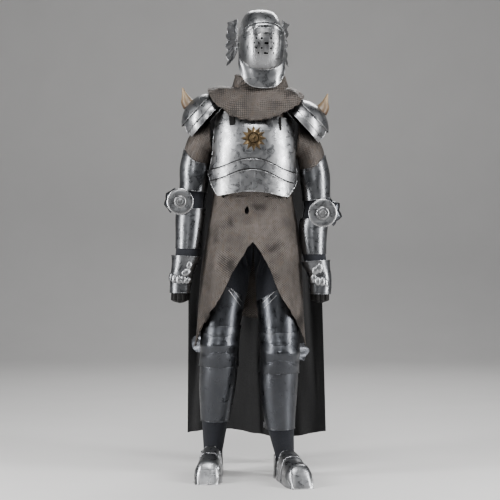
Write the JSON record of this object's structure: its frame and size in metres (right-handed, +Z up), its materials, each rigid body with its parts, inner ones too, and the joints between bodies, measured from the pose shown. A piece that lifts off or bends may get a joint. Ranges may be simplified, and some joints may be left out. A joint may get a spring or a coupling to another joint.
{
  "type": "suit of plate armour with mail, cape and helmet, as worn",
  "caption": "Hollow suit of plate armour in its worn pose: visored helmet with side wings, cuirass, mail collar and skirt, arm and leg plates, gauntlets, foot plates and a long cape.",
  "frame": {"origin": "between the shoulders at the base of the neck, where the wearer carries the suit, 1.45 m above the soles", "axes": "+Z up the body, -Y the way the suit faces, +X towards the suit's own left"},
  "size_m": [0.661, 0.5404, 1.8371],
  "materials": {
    "polished_steel": "polished with fine scratches",
    "dark_steel": "darkened satin",
    "mail": "riveted rings, dull",
    "brass": "gilt, worn",
    "horn": "natural horn, satin",
    "leather": "matt",
    "black_cloth": "heavy wool",
    "navy_cloth": "quilted cotton"
  },
  "bodies": {
    "suit": {"arming_sleeve_left": "navy_cloth", "arming_sleeve_right": "navy_cloth", "backplate": "polished_steel", "bevor": "polished_steel", "breast_badge": "brass", "breastplate": "polished_steel", "breeches_left": "navy_cloth", "breeches_right": "navy_cloth", "brow_band": "polished_steel", "cape": "black_cloth", "couter_disc_left": "polished_steel", "couter_disc_right": "polished_steel", "couter_left": "dark_steel", "couter_right": "dark_steel", "cuisse_left": "dark_steel", "cuisse_right": "dark_steel", "gauntlet_left": "dark_steel", "gauntlet_right": "dark_steel", "glove_left": "leather", "glove_right": "leather", "greave_left": "dark_steel", "greave_right": "dark_steel", "horn_left": "horn", "horn_right": "horn", "knuckle_plate_left": "dark_steel", "knuckle_plate_right": "dark_steel", "mail_back": "mail", "mail_collar": "mail", "mail_front": "mail", "mail_skirt": "mail", "mail_sleeve_left": "mail", "mail_sleeve_right": "mail", "pauldron_cap_left": "polished_steel", "pauldron_cap_right": "polished_steel", "pauldron_lame_lower_left": "polished_steel", "pauldron_lame_lower_right": "polished_steel", "pauldron_lame_upper_left": "polished_steel", "pauldron_lame_upper_right": "polished_steel", "pivot_left": "polished_steel", "pivot_right": "polished_steel", "poleyn_left": "dark_steel", "poleyn_right": "dark_steel", "poleyn_wing_left": "dark_steel", "poleyn_wing_right": "dark_steel", "rerebrace_left": "dark_steel", "rerebrace_right": "dark_steel", "sabaton_heel_left": "polished_steel", "sabaton_heel_right": "polished_steel", "sabaton_instep_left": "polished_steel", "sabaton_instep_right": "polished_steel", "sabaton_toe_left": "polished_steel", "sabaton_toe_right": "polished_steel", "skull": "polished_steel", "vambrace_left": "dark_steel", "vambrace_right": "dark_steel", "waist_lame_lower": "polished_steel", "waist_lame_upper": "polished_steel", "wing_left": "polished_steel", "wing_right": "polished_steel"},
    "visor": {"visor": "polished_steel"}
  },
  "joints": [
    {"name": "visor_lift", "type": "hinge", "parent": "suit", "child": "visor", "pos_m": [0.024, -0.005, 0.255], "axis": [-0.9877, -0.1564, 0], "range_deg": [0, 55]}
  ]
}
